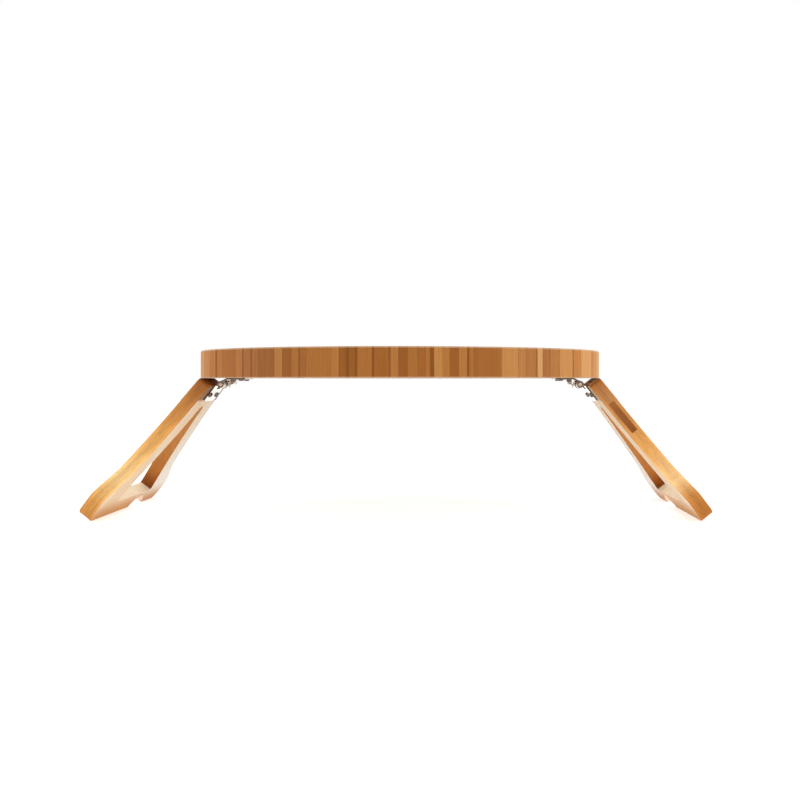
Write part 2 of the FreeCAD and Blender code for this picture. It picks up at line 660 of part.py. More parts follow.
# ---------------------------------------------------------------- wood screws
def screw(name, length, seat):
    """A pan head screw with a cross recess; its head sits at z = 0 and its point looks along -Z."""
    shank = doc.addObject("Part::Cylinder", name + "_shank")
    shank.setExpression("Radius", S("screw_radius"))
    shank.setExpression("Height", S(f"{length} - 2 * screw_radius"))
    shank.setExpression("Placement.Base.z", S(f"- {length} + 2 * screw_radius"))
    point = doc.addObject("Part::Cone", name + "_point")
    point.setExpression("Radius1", S("screw_radius / 5"))
    point.setExpression("Radius2", S("screw_radius"))
    point.setExpression("Height", S("2 * screw_radius"))
    point.setExpression("Placement.Base.z", S(f"- {length}"))
    head = doc.addObject("Part::Cone", name + "_head")
    head.setExpression("Radius1", S("screw_head"))
    head.setExpression("Radius2", S("screw_head_top"))
    head.setExpression("Height", S("screw_head_height"))
    bars = []
    for tag, length_side, width_side in (("a", "Length", "Width"), ("b", "Width", "Length")):
        bar = doc.addObject("Part::Box", f"{name}_recess_{tag}")
        bar.setExpression(length_side, S("recess_length"))
        bar.setExpression(width_side, S("recess_width"))
        bar.setExpression("Height", S("recess_depth * 2"))
        along, across = ("x", "y") if tag == "a" else ("y", "x")
        bar.setExpression(f"Placement.Base.{along}", S("- recess_length / 2"))
        bar.setExpression(f"Placement.Base.{across}", S("- recess_width / 2"))
        bar.setExpression("Placement.Base.z", S("screw_head_height - recess_depth"))
        bars.append(bar)
    body = cut(name, fuse(name + "_solid", [shank, point, head]), fuse(name + "_recess", bars))
    body.Placement = seat
    return body


def screw_pair(label, length, place, frame, x, z, tilt):
    """Two screws side by side across a hinge plate."""
    pair = []
    for tag, y in (("front", -size("screw_spread") / 2), ("rear", size("screw_spread") / 2)):
        seat = Placement(Vector(x, y, z), tilt)
        pair.append(screw(f"{label}_{tag}", length, seat))
    return keep(group(label, pair), label, place.multiply(frame))


for side, turn in SIDES.items():
    leg_board(side, turn)
    tray_leaf(side, turn)
    leg_leaf(side, turn)
    hinge_pin(side, turn)
    catch(side, turn)
    catch_pin(side, turn)
    catch_spring(side, turn)
    spring_rivet(side, turn)
    screw_pair(side + "_tray_screws", "tray_screw_length", turn, HINGE_FRAME, -size("tray_screw_place"),
               size("pivot_drop") - size("plate_thickness"), Rotation(Vector(1, 0, 0), 180))
    screw_pair(side + "_leg_screws", "leg_screw_length", turn, LEG_HINGE_FRAME,
               size("pivot_offset") - size("plate_thickness"),
               -size("pivot_above") - size("leg_screw_place"),
               Rotation(Vector(0, 1, 0), -90))

# ---------------------------------------------------------------- check and write
doc.recompute()
for obj in doc.Objects:
    assert not {"Invalid", "Error"} & set(obj.State), f"{obj.Name}: {obj.State}"
os.makedirs("parts", exist_ok=True)
for obj in exported:
    shape = obj.Shape
    assert not shape.isNull() and shape.isValid(), f"{obj.Label} has no sound shape"
    assert shape.Solids, f"{obj.Label} has no solid"
    shape.exportStep(f"parts/{obj.Label}.step")
    box = shape.BoundBox
    print(f"{obj.Label}: {len(shape.Solids)} solid(s), {shape.Volume:.1f} mm3,",
          f"x {box.XMin:.1f}..{box.XMax:.1f} y {box.YMin:.1f}..{box.YMax:.1f} z {box.ZMin:.1f}..{box.ZMax:.1f}")
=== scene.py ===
"""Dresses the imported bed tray: bamboo and steel finishes, plain studio light and the camera."""
import math
import random

import bpy
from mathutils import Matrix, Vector


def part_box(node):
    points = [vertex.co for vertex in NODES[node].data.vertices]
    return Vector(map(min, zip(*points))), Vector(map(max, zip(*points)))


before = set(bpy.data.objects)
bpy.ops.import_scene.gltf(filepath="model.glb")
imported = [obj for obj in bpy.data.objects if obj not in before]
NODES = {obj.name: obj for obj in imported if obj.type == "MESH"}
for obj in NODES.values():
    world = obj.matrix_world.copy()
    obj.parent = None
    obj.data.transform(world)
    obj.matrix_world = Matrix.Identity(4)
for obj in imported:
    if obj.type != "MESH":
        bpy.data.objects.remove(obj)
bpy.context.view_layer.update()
SIDES = ("left", "right")
MM = 0.001

# ---------------------------------------------------------------- the tray's rim, read from the frame
FRONT_LOW, FRONT_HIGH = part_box("rim_front")
HALF_WIDTH, SEAM_X = -FRONT_LOW.y, FRONT_HIGH.x
HALF_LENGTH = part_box("rim_right_end")[1].x
END_ARC = 0.40                          # about how long a rim end is from seam to seam, along its inside

# ---------------------------------------------------------------- the leg boards, as they were modelled
SPLAY = math.radians(37.5)
BOARD, LEG_LENGTH = 0.019, 0.218        # a board's thickness and its length
LEG_TOP_X, LEG_TOP_Z = 0.273, 0.18403   # the outer top corner of the right board
# The places below lie on a board: down from its top, or out from its middle
WINDOW_TOP, WINDOW_FOOT = 0.037, 0.195
NOTCH_BACK, NOTCH_HALF = 0.034, 0.022   # how far the foot's notch lies behind the middle, and half its width
NOTCH_DEPTH = 0.017
LEAF_HALF, LEAF_END = 0.020, 0.025      # half the leg leaf's width, and its lower end
INLAY_TOP, INLAY_FOOT = 0.035, 0.0835   # the darker length of core in the right board
INLAY_INNER, INLAY_OUTER = -0.0138, -0.0052     # its depth, which is 0 on the board's outer face


def srgb(red, green, blue):
    """A colour written 0-255 as on a screen, in the linear values that Blender takes."""
    def linear(part):
        part /= 255.0
        return part / 12.92 if part <= 0.04045 else ((part + 0.055) / 1.055) ** 2.4
    return (linear(red), linear(green), linear(blue), 1.0)


def tones(*stops):
    """Ramp stops from (place, red, green, blue), the colours written 0-255."""
    return [(place, srgb(*colour)) for place, *colour in stops]


def greys(*stops):
    """Ramp stops of plain lightness from (place, value)."""
    return [(place, (value, value, value, 1.0)) for place, value in stops]


# ---------------------------------------------------------------- node trees
class Nodes:
    """A node tree being put together. Sockets, colours and plain numbers can all be fed in."""

    def __init__(self, tree):
        self.tree = tree
        tree.nodes.clear()

    def add(self, kind, **settings):
        node = self.tree.nodes.new(kind)
        for key, value in settings.items():
            setattr(node, key, value)
        return node

    def feed(self, socket, value):
        if isinstance(value, bpy.types.NodeSocket):
            self.tree.links.new(value, socket)
        elif isinstance(value, tuple):
            socket.default_value = value[:len(socket.default_value)]
        else:
            socket.default_value = value

    def fed(self, kind, *values, **settings):
        """A new node with its first inputs fed."""
        node = self.add(kind, **settings)
        for socket, value in zip(node.inputs, values):
            self.feed(socket, value)
        return node

    def feed_named(self, node, **values):
        """Feed inputs by name, with _ for a space in it."""
        for name, value in values.items():
            self.feed(node.inputs[name.replace("_", " ")], value)

    def math(self, operation, *values, clamp=False):
        return self.fed("ShaderNodeMath", *values, operation=operation, use_clamp=clamp).outputs[0]

    def grade(self, value, low, high, start=0.0, end=1.0, smooth=False):
        """start while the value is under low, end when it is over high, and a slope between."""
        slope = "SMOOTHSTEP" if smooth else "LINEAR"
        return self.fed("ShaderNodeMapRange", value, low, high, start, end,
                        clamp=True, interpolation_type=slope).outputs[0]

    def between(self, value, low, high, fade):
        """1 from low to high and 0 outside, changing over fade."""
        rise = self.grade(value, low - fade / 2, low + fade / 2)
        fall = self.grade(value, high - fade / 2, high + fade / 2, 1.0, 0.0)
        return self.math("MULTIPLY", rise, fall)

    def spread(self, noise, start, end):
        """Noise, which lies mostly between 0.3 and 0.7, spread out from start to end."""
        return self.grade(noise, 0.3, 0.7, start, end)

    def seen(self):
        """1 for rays from the camera, reflections and clear parts, 0 for the light that things receive."""
        rays = self.add("ShaderNodeLightPath").outputs
        looked_at = self.math("MAXIMUM", rays["Is Camera Ray"], rays["Is Glossy Ray"])
        return self.math("MAXIMUM", looked_at, rays["Is Transmission Ray"])


class Shade(Nodes):
    """A material on one principled shader."""

    def __init__(self, name):
        self.material = bpy.data.materials.new(name)
        self.material.use_nodes = True
        super().__init__(self.material.node_tree)
        self.shader = self.add("ShaderNodeBsdfPrincipled")
        self.fed("ShaderNodeOutputMaterial", self.shader.outputs[0])
        self.point = self.add("ShaderNodeTexCoord").outputs["Object"]
        self.normal = self.add("ShaderNodeNewGeometry").outputs["Normal"]

    def parts(self, vector):
        return self.fed("ShaderNodeSeparateXYZ", vector).outputs[:3]

    def joined(self, x, y, z):
        return self.fed("ShaderNodeCombineXYZ", x, y, z).outputs[0]

    def stretched(self, parts, factors):
        """Three parts joined into a vector, each multiplied by its own factor."""
        return self.joined(*[self.math("MULTIPLY", part, factor) for part, factor in zip(parts, factors)])

    def local(self, vector, place, turn):
        """The vector seen from a frame that stands at place and is turned by turn."""
        node = self.fed("ShaderNodeMapping", vector, vector_type="TEXTURE")
        node.inputs["Location"].default_value = place
        node.inputs["Rotation"].default_value = turn
        return node.outputs[0]

    def noise(self, vector, scale, detail=2.0, roughness=0.5):
        node = self.add("ShaderNodeTexNoise")
        self.feed_named(node, Vector=vector, Scale=scale, Detail=detail, Roughness=roughness)
        return node.outputs[0]

    def cells(self, vector, scale):
        """Distance to the nearest of many scattered dots."""
        node = self.add("ShaderNodeTexVoronoi")
        self.feed_named(node, Vector=vector, Scale=scale)
        return node.outputs["Distance"]

    def chance(self, index, *seed):
        """A number from 0 to 1 for each index; the two seed numbers pick the row of numbers."""
        node = self.add("ShaderNodeTexWhiteNoise", noise_dimensions="3D")
        self.feed(node.inputs["Vector"], self.joined(index, *seed))
        return node.outputs["Value"]

    def mix(self, factor, first, second, mode="MIX"):
        node = self.add("ShaderNodeMix", data_type="RGBA", blend_type=mode)
        self.feed(node.inputs[0], factor)
        self.feed(node.inputs[6], first)
        self.feed(node.inputs[7], second)
        return node.outputs[2]

    def scaled(self, colour, amount):
        """The colour, brighter or darker by a factor."""
        node = self.add("ShaderNodeVectorMath", operation="SCALE")
        self.feed(node.inputs[0], colour)
        self.feed(node.inputs["Scale"], amount)
        return node.outputs[0]

    def ramp(self, position, stops, stepped=False):
        node = self.fed("ShaderNodeValToRGB", position)
        node.color_ramp.interpolation = "CONSTANT" if stepped else "LINEAR"
        elements = node.color_ramp.elements
        while len(elements) < len(stops):
            elements.new(1.0)
        for element, (place, colour) in zip(elements, stops):
            element.position = place
            element.color = colour
        return node.outputs[0]

    def lengthwise(self, across, width, shift):
        """Which lengthwise strip a place lies on, and how far from its middle, 0.5 being the strip's edge.

        shift is how far before the middle the strips are counted from.
        """
        count = self.math("DIVIDE", self.math("ADD", across, shift), width)
        from_middle = self.math("SUBTRACT", self.math("FRACT", count), 0.5)
        return self.math("FLOOR", count), self.math("ABSOLUTE", from_middle)

    def bump(self, height, distance):
        node = self.add("ShaderNodeBump")
        self.feed_named(node, Strength=1.0, Distance=distance, Height=height)
        self.feed(self.shader.inputs["Normal"], node.outputs[0])

    def finish(self, colour, roughness, **others):
        """Feed the shader and hand the material over."""
        self.feed_named(self.shader, Base_Color=colour, Roughness=roughness, **others)
        return self.material


# ---------------------------------------------------------------- bamboo
# How often the fibres change in a metre along the grain and across it
FINE_GRAIN, BROAD_GRAIN = (30.0, 1400.0), (9.0, 260.0)
GRAIN_RELIEF = 0.12 * MM
SEAM_DARKNESS = 0.74                    # how dark a glued seam is, 1 being the wood beside it
LACQUER_SHINE = 0.11                    # the shader's specular level


def grain(shade, place, per_metre, detail, roughness):
    """Noise drawn out along the grain, which the first part of place follows."""
    along, across = per_metre
    return shade.noise(shade.stretched(place, (along, across, across)), 1.0, detail, roughness)


def wood_finish(shade, colour, place, line):
    """Fibres over the strip colour, then the satin lacquer. line is 1 where two strips are glued."""
    fine = grain(shade, place, FINE_GRAIN, 3.0, 0.6)
    broad = grain(shade, place, BROAD_GRAIN, 2.0, 0.5)
    tone = shade.math("ADD", shade.spread(fine, 0.90, 1.08), shade.spread(broad, -0.07, 0.07))
    tone = shade.math("MULTIPLY", tone, shade.grade(line, 0.0, 1.0, 1.0, SEAM_DARKNESS))
    height = shade.math("SUBTRACT", shade.math("MULTIPLY", fine, 0.35), shade.math("MULTIPLY", line, 0.6))
    shade.bump(height, GRAIN_RELIEF)
    gloss = shade.spread(fine, 0.56, 0.42)
    return shade.finish(shade.scaled(colour, tone), gloss, Specular_IOR_Level=LACQUER_SHINE)


# ---------------------------------------------------------------- the rim's upright strips
# Tones of the bamboo strips, dark to pale
TONES = {
    "a": srgb(138, 79, 26), "b": srgb(150, 90, 35), "c": srgb(159, 97, 41), "d": srgb(168, 107, 49),
    "e": srgb(178, 116, 57), "f": srgb(187, 128, 68), "g": srgb(198, 143, 86),
}
# Strips of the rim's front from its left seam to its right one: relative width and tone
FRONT_STRIPS = ("14b 10d 1a 10c 11d 14d 1c 8d 11e 11b 2a 10b 2a 20d 2a 21c 2b 11e 11b 14d 10c 7d 4a 12f 10e "
                "12b 11e 2a 8d 35c 4d")
# Strips of each end from its front seam outwards, and the share of the end's arc that they fill
END_STRIPS = {
    "left": ("3f 13e 24b 2a 18b 22c 3a 22c 3a 24d 29c 28c 27d 5a 35d 48e 28f", 0.334),
    "right": ("38f 19e 27d 3b 15g 23c 33d 52f 3c 33e 68g 7d 45f 48g", 0.415),
}
# Strips where the photograph doesn't show the rim: how many a segment has, and the seeds of their draws
BACK_STRIP_COUNT, END_STRIP_COUNT = 24, 31
STRIP_SEEDS = {"back": 4, "left": 11, "right": 12}
SEAM_HALF = 0.35 * MM                   # half the width of the dark line between two strips
PORES_PER_METRE = 850.0
# the second tone is a painted highlight for the rim's rounded edges
PORE_TONE, EDGE_HIGHLIGHT_TONE = srgb(96, 56, 24), srgb(214, 186, 156)


def strips(text):
    """The (width, tone) pairs that a line of strips lists."""
    return [(float(word[:-1]), word[-1]) for word in text.split()]


def more_strips(seed, count):
    """Strips of mixed widths for the sides that the photograph doesn't show."""
    draw = random.Random(seed)
    return [(draw.uniform(7.0, 16.0), draw.choice("cddeeefffg")) for _ in range(count)]


def strip_stops(pairs, start=0.0, end=1.0):
    """Stepped ramp stops that share the span from start to end out by width."""
    total = sum(width for width, _ in pairs)
    stops, place = [], start
    for width, tone in pairs:
        stops.append((place, TONES[tone]))
        place += (end - start) * width / total
    return stops


def end_stops(side):
    """The strips of a rim end: those the photograph shows, then drawn ones."""
    text, share = END_STRIPS[side]
    shown = strips(text)
    drawn = more_strips(STRIP_SEEDS[side], END_STRIP_COUNT - len(shown))
    return strip_stops(shown, 0.0, share) + strip_stops(drawn, share, 1.0)


def seam_to_seam(shade, x, _y):
    """Along a long side of the rim, from the left seam to the right one."""
    return shade.grade(x, -SEAM_X, SEAM_X)


def round_end(side):
    """From the front seam round the end to the rear seam, by the angle on the oval."""
    reach = math.acos(SEAM_X / HALF_LENGTH)
    sign = 1.0 if side == "right" else -1.0

    def position(shade, x, y):
        as_circle = shade.math("MULTIPLY", y, HALF_LENGTH / HALF_WIDTH)
        angle = shade.math("ARCTAN2", as_circle, shade.math("MULTIPLY", x, sign))
        return shade.grade(angle, -reach, reach)
    return position


def rim_material(name, stops, position, length):
    """Strips that stand upright round the rim; position runs from 0 to 1 over the segment's length."""
    shade = Shade(name)
    x, y, z = shade.parts(shade.point)
    place = position(shade, x, y)
    colour = shade.ramp(place, stops, stepped=True)
    # a dark line wherever the tone changes
    before = shade.ramp(shade.math("SUBTRACT", place, SEAM_HALF / length), stops, stepped=True)
    after = shade.ramp(shade.math("ADD", place, SEAM_HALF / length), stops, stepped=True)
    apart = shade.mix(1.0, before, after, "DIFFERENCE")
    line = shade.math("MULTIPLY", shade.parts(apart)[0], 60.0, clamp=True)
    # pores of the strips' ends, on the flat top and bottom
    upward = shade.math("ABSOLUTE", shade.parts(shade.normal)[2])
    pores = shade.grade(shade.cells(shade.point, PORES_PER_METRE), 0.12, 0.38, 1.0, 0.0)
    pores = shade.math("MULTIPLY", pores, shade.grade(upward, 0.75, 0.95))
    colour = shade.mix(shade.math("MULTIPLY", pores, 0.30), colour, PORE_TONE)
    # painted highlight on the rounded edges, standing in for the sheen of the lacquer
    edge_highlight = shade.math("MULTIPLY", shade.grade(upward, 0.12, 0.35), shade.grade(upward, 0.85, 0.99, 1.0, 0.0))
    colour = shade.mix(shade.math("MULTIPLY", edge_highlight, 0.6), colour, EDGE_HIGHLIGHT_TONE)
    across = shade.math("MULTIPLY", place, length)
    return wood_finish(shade, colour, (z, across, shade.math("ADD", x, y)), line)


# ---------------------------------------------------------------- the leg boards
LEG_STRIP_WIDTH, LEG_STRIP_SHIFT = 0.0185, 0.1
# Lightness of the plies from the inner face to the outer one, with a dark glue line
PLIES = greys((0.0, 1.13), (0.215, 0.80), (0.235, 1.0), (0.36, 0.94), (0.66, 0.98), (0.80, 1.04))
# Colour of a board's edges from its top to its foot, with painted light and shade along the board
EDGE_TONES_AND_PAINTED_LIGHT = {
    "left": tones((0.0, 168, 104, 50), (0.12, 190, 126, 64), (0.30, 214, 150, 80), (0.50, 238, 180, 104),
                  (0.72, 250, 210, 144), (0.82, 234, 180, 108), (0.88, 214, 152, 80), (1.0, 200, 138, 68)),
    "right": tones((0.0, 180, 114, 58), (0.12, 194, 136, 82), (0.30, 208, 146, 82), (0.50, 231, 168, 94),
                   (0.74, 250, 204, 142), (0.83, 206, 138, 70), (0.90, 190, 122, 54), (1.0, 186, 116, 50)),
}
INLAY_TONES = tones((0.0, 162, 102, 50), (1.0, 142, 82, 36))
# The inner face's tones: pale bamboo, made paler still as painted light for the strong light on that face
INNER_TONES = tones((0.0, 251, 224, 188), (0.5, 252, 229, 197), (1.0, 253, 234, 206))
OUTER_TONES = tones((0.0, 206, 148, 90), (0.5, 214, 158, 98), (1.0, 224, 170, 112))
# Painted light whitening the inner face towards the rear, and painted shade near the floor at the foot
REAR_LIGHT_TONE, FOOT_SHADE_TONE = srgb(255, 250, 242), srgb(220, 155, 82)
# Painted shadow of the leg leaf's edge on the wood
LEAF_SHADOW_TONE = srgb(126, 78, 38)
LEAF_SHADOW_STRENGTH = {"left": 0.85, "right": 0.40}   # how strong the painted shadow beside each leg leaf is
# How far from the middle an edge still belongs to the window, from the board's top to its foot, in parts of
# WIDEST_REACH, and the stretch of the board where it can
WINDOW_REACH, WIDEST_REACH = greys((0.0, 0.20), (0.47, 0.38), (0.69, 0.55), (0.89, 0.82)), 0.1
WALLS_TOP, WALLS_FOOT = WINDOW_TOP - 16 * MM, WINDOW_FOOT + 3 * MM
# Depths between which the inner face's colour turns to the outer one's, and between which the painted shadow
# beside the leaf ends
FACE_TURN, LEAF_SHADOW_END = (-0.012, -0.007), (-0.016, -0.012)
REAR_LIGHT_FADE = 0.055                       # how far behind the middle the painted light on the inner face is at its whitest
FOOT_SHADE_FADE = (0.036, 0.004)              # how far above the foot the painted shade near the floor starts and is at its strongest
# Painted shade in the window's walls, darkest towards its foot
WINDOW_SHADE_TONES = tones((0.0, 206, 146, 88), (0.45, 196, 130, 68), (0.80, 176, 102, 38), (0.93, 132, 66, 12),
                   (1.0, 120, 58, 10))
# Painted light: the window's sill, the right board's top end and the foot's notch are painted pale as if lit
SILL_LIGHT_TONE, END_GRAIN_LIGHT_TONE, NOTCH_LIGHT_TONE = srgb(254, 238, 206), srgb(250, 226, 190), srgb(250, 222, 200)


class LegShade(Shade):
    """The material of one leg board, with places measured on the board.

    depth is 0 on the outer face and -BOARD on the inner one, along runs down from the top, and across runs
    towards the rear on the right board and towards the front on the left one. edge is 1 on the board's
    edges and 0 on its faces, and upward is 1 where a face looks up the board.
    """

    def __init__(self, side):
        super().__init__(f"{side}_leg_bamboo_wood")
        self.side = side
        self.sign = 1.0 if side == "right" else -1.0
        top = (self.sign * LEG_TOP_X, 0.0, LEG_TOP_Z)
        turn = (0.0, -SPLAY, 0.0 if side == "right" else math.pi)
        self.depth, self.across, up = self.parts(self.local(self.point, top, turn))
        self.along = self.math("MULTIPLY", up, -1.0)
        self.down = self.grade(self.along, 0.0, LEG_LENGTH)
        outward, _, self.upward = self.parts(self.local(self.normal, (0.0, 0.0, 0.0), turn))
        self.edge = self.grade(self.math("ABSOLUTE", outward), 0.45, 0.75, 1.0, 0.0)

    def plies(self):
        """The plies as the board's edges show them, darker along the outer corner, lighter and darker along
        the board as painted light and shade.
        """
        plies = self.ramp(self.grade(self.depth, -BOARD, 0.0), PLIES, stepped=True)
        corner = self.grade(self.depth, -1.2 * MM, -0.4 * MM, 1.0, 0.72)
        clouds = self.noise(self.stretched((self.along, self.depth, self.sign), (22.0, 190.0, 3.0)), 1.0, 1.0)
        lightness = self.math("MULTIPLY", corner, self.grade(clouds, 0.35, 0.65, 0.92, 1.08))
        # painted light and shade along the edges: brightest where the board flares up towards the lamps
        edge_tone_and_light = self.ramp(self.down, EDGE_TONES_AND_PAINTED_LIGHT[self.side])
        return self.mix(1.0, self.scaled(plies, lightness), edge_tone_and_light, "MULTIPLY")

    def inlaid(self, colour):
        """A darker length of core near the top."""
        inlay = self.math("MULTIPLY", self.between(self.along, INLAY_TOP, INLAY_FOOT, 1.0 * MM),
                          self.between(self.depth, INLAY_INNER, INLAY_OUTER, 0.4 * MM))
        return self.mix(inlay, colour, self.ramp(self.grade(self.along, INLAY_TOP, INLAY_FOOT), INLAY_TONES))

    def faces(self, tone):
        """Pale bamboo inside, made whiter towards the rear by painted light, and golden bamboo outside;
        painted shade near the floor at the foot.
        """
        rear_light = self.grade(self.math("MULTIPLY", self.across, self.sign), 0.0, REAR_LIGHT_FADE, 0.0, 0.85)
        pale = self.mix(rear_light, self.ramp(tone, INNER_TONES), REAR_LIGHT_TONE)
        face = self.mix(self.grade(self.depth, *FACE_TURN), pale, self.ramp(tone, OUTER_TONES))
        # painted shade near the floor on the faces at the foot
        start, full = (LEG_LENGTH - height for height in FOOT_SHADE_FADE)
        return self.mix(self.grade(self.along, start, full, 0.0, 0.85, smooth=True), face, FOOT_SHADE_TONE)

    def leaf_shadowed(self, colour):
        """Painted shadow on the wood beside the hinge's leaf."""
        aside = self.grade(self.math("ABSOLUTE", self.across), LEAF_HALF - 1.0 * MM, LEAF_HALF)
        above = self.grade(self.along, LEAF_END - 2 * MM, LEAF_END + 3 * MM, 1.0, 0.0)
        inner = self.grade(self.depth, *LEAF_SHADOW_END, LEAF_SHADOW_STRENGTH[self.side], 0.0)
        leaf_shadow = self.math("MULTIPLY", self.math("MULTIPLY", aside, above), inner)
        return self.mix(leaf_shadow, colour, LEAF_SHADOW_TONE)

    def window_walls(self, colour):
        """The window's sawn walls with painted shade, darker towards its foot, and its sill painted pale as
        painted light.
        """
        share = self.parts(self.ramp(self.down, WINDOW_REACH))[0]
        reach = self.math("MULTIPLY", share, WIDEST_REACH)
        inside = self.math("LESS_THAN", self.math("ABSOLUTE", self.across), reach)
        inside = self.math("MULTIPLY", inside, self.between(self.along, WALLS_TOP, WALLS_FOOT, 2 * MM))
        wall_shade = self.ramp(self.grade(self.along, WINDOW_TOP, WINDOW_FOOT), WINDOW_SHADE_TONES)
        wall_shade = self.mix(self.grade(self.upward, 0.4, 0.8), wall_shade, SILL_LIGHT_TONE)
        wall = self.math("MULTIPLY", inside, self.edge)
        return self.mix(self.math("MULTIPLY", wall, 0.95), colour, wall_shade)

    def lit_end_grain(self, colour):
        """The board's top end painted pale, as painted light against the shade under the tray."""
        top = self.grade(self.along, 4 * MM, 6 * MM, 1.0, 0.0)
        end = self.math("MULTIPLY", self.grade(self.upward, 0.93, 0.99), top)
        return self.mix(self.math("MULTIPLY", end, 0.9), colour, END_GRAIN_LIGHT_TONE)

    def lit_notch_walls(self, colour):
        """The walls of the foot's notch, painted pale as painted light."""
        beside = self.math("ABSOLUTE", self.math("SUBTRACT", self.across, self.sign * NOTCH_BACK))
        cut = self.math("MULTIPLY", self.grade(beside, NOTCH_HALF, NOTCH_HALF + 0.5 * MM, 1.0, 0.0),
                        self.grade(self.upward, -0.3, -0.1, 1.0, 0.0))
        above = LEG_LENGTH - NOTCH_DEPTH - 1.0 * MM
        cut = self.math("MULTIPLY", cut, self.grade(self.along, above, above + 0.5 * MM))
        return self.mix(self.math("MULTIPLY", cut, self.edge), colour, NOTCH_LIGHT_TONE)


def leg_material(side):
    """A three-ply board: plies on its edges, lengthwise strips on its faces, window walls darkened by painted
    shade.
    """
    shade = LegShade(side)
    index, from_middle = shade.lengthwise(shade.across, LEG_STRIP_WIDTH, LEG_STRIP_SHIFT)
    edges = shade.inlaid(shade.plies()) if side == "right" else shade.plies()
    faces = shade.leaf_shadowed(shade.faces(shade.chance(index, shade.sign, 7.0)))
    colour = shade.window_walls(shade.mix(shade.edge, faces, edges))
    if side == "right":
        colour = shade.lit_end_grain(colour)
    colour = shade.lit_notch_walls(colour)
    seam = shade.grade(from_middle, 0.478, 0.492)
    line = shade.math("MULTIPLY", seam, shade.grade(shade.edge, 0.0, 0.5, 0.5, 0.0))
    return wood_finish(shade, colour, (shade.along, shade.across, shade.depth), line)


# ---------------------------------------------------------------- the panel and the dowels
PANEL_STRIP_WIDTH, PANEL_STRIP_SHIFT = 0.020, 0.2
PANEL_TONES = tones((0.0, 194, 138, 84), (0.5, 210, 158, 104), (1.0, 222, 176, 126))
KNOT_SPACING, KNOT_TONE = 0.23, srgb(140, 86, 42)
DOWEL_TONE = srgb(208, 164, 116)


def panel_material():
    """Lengthwise strips with the short dark knots that bamboo has."""
    shade = Shade("panel_bamboo_wood")
    x, y, z = shade.parts(shade.point)
    index, from_middle = shade.lengthwise(y, PANEL_STRIP_WIDTH, PANEL_STRIP_SHIFT)
    colour = shade.ramp(shade.chance(index, 3.0, 5.0), PANEL_TONES)
    place = shade.math("ADD", shade.math("DIVIDE", x, KNOT_SPACING), shade.chance(index, 9.0, 2.0))
    from_knot = shade.math("ABSOLUTE", shade.math("SUBTRACT", shade.math("FRACT", place), 0.5))
    knot = shade.grade(from_knot, 0.0, 0.012, 1.0, 0.0, smooth=True)
    colour = shade.mix(shade.math("MULTIPLY", knot, 0.45), colour, KNOT_TONE)
    return wood_finish(shade, colour, (x, y, z), shade.grade(from_middle, 0.482, 0.494))


def dowel_material():
    """Plain turned wood."""
    shade = Shade("dowel_wood_beech")
    return wood_finish(shade, DOWEL_TONE, shade.parts(shade.point), 0.0)


# ---------------------------------------------------------------- steel
STREAKS_ACROSS, STREAKS_ALONG = 1600.0, 90.0    # how often the rolling streaks change in a metre
STAINS_PER_METRE = 160.0
STREAK_RELIEF = 0.02 * MM
X_AXIS, Y_AXIS, Z_AXIS = 0, 1, 2
# Width of the softened edges of each metal piece, in millimetres
SOFT_EDGES = {"tray_leaf": 0.30, "leg_leaf": 0.30, "catch": 0.25, "catch_spring": 0.12, "tray_screws": 0.15,
              "leg_screws": 0.15, "spring_rivet": 0.12}


def steel_material(name, pale, dark, rough, streak_axis, cut=None):
    """Plated steel: faint rolling streaks, small stains and finger marks in its gloss.

    cut is the colour of the sheared edges and knuckle ends, which face along Y.
    """
    shade = Shade(name)
    per_metre = [STREAKS_ACROSS] * 3
    per_metre[streak_axis] = STREAKS_ALONG
    streaks = shade.noise(shade.stretched(shade.parts(shade.point), per_metre), 1.0, 3.0, 0.6)
    stains = shade.noise(shade.point, STAINS_PER_METRE, 3.0, 0.55)
    colour = shade.mix(shade.grade(stains, 0.35, 0.70), pale, dark)
    colour = shade.scaled(colour, shade.spread(streaks, 0.92, 1.05))
    if cut:
        sheared = shade.grade(shade.math("ABSOLUTE", shade.parts(shade.normal)[1]), 0.55, 0.85)
        colour = shade.mix(sheared, colour, cut)
    gloss = shade.math("ADD", shade.spread(stains, rough * 0.8, rough * 1.3),
                       shade.spread(streaks, -0.05, 0.05))
    shade.bump(streaks, STREAK_RELIEF)
    return shade.finish(colour, gloss, Metallic=1.0)


def soften(node, width):
    """Round a metal piece's sharp edges by a little."""
    weld = node.modifiers.new("weld", "WELD")
    weld.merge_threshold = 1e-6
    bevel = node.modifiers.new("soft_edges", "BEVEL")
    bevel.width = width
    bevel.segments = 2
    bevel.limit_method = "ANGLE"
    bevel.angle_limit = math.radians(40)
    bevel.harden_normals = True


# ---------------------------------------------------------------- every piece gets its finish
def dress(node, material):
    """Give a CAD node its finish."""
    for slot in NODES[node].material_slots:
        slot.material = material


NICKEL = steel_material("hinge_nickel", srgb(238, 234, 228), srgb(200, 192, 182), 0.26, Y_AXIS,
                        srgb(104, 88, 74))
PIN_STEEL = steel_material("pin_bright", srgb(200, 182, 158), srgb(158, 138, 114), 0.30, Y_AXIS)
CATCH_STEEL = steel_material("catch_plated", srgb(236, 233, 228), srgb(204, 199, 192), 0.30, Y_AXIS,
                             srgb(186, 180, 172))
SPRING_STEEL = steel_material("spring_blue_grey", srgb(206, 202, 198), srgb(156, 152, 148), 0.28, X_AXIS)
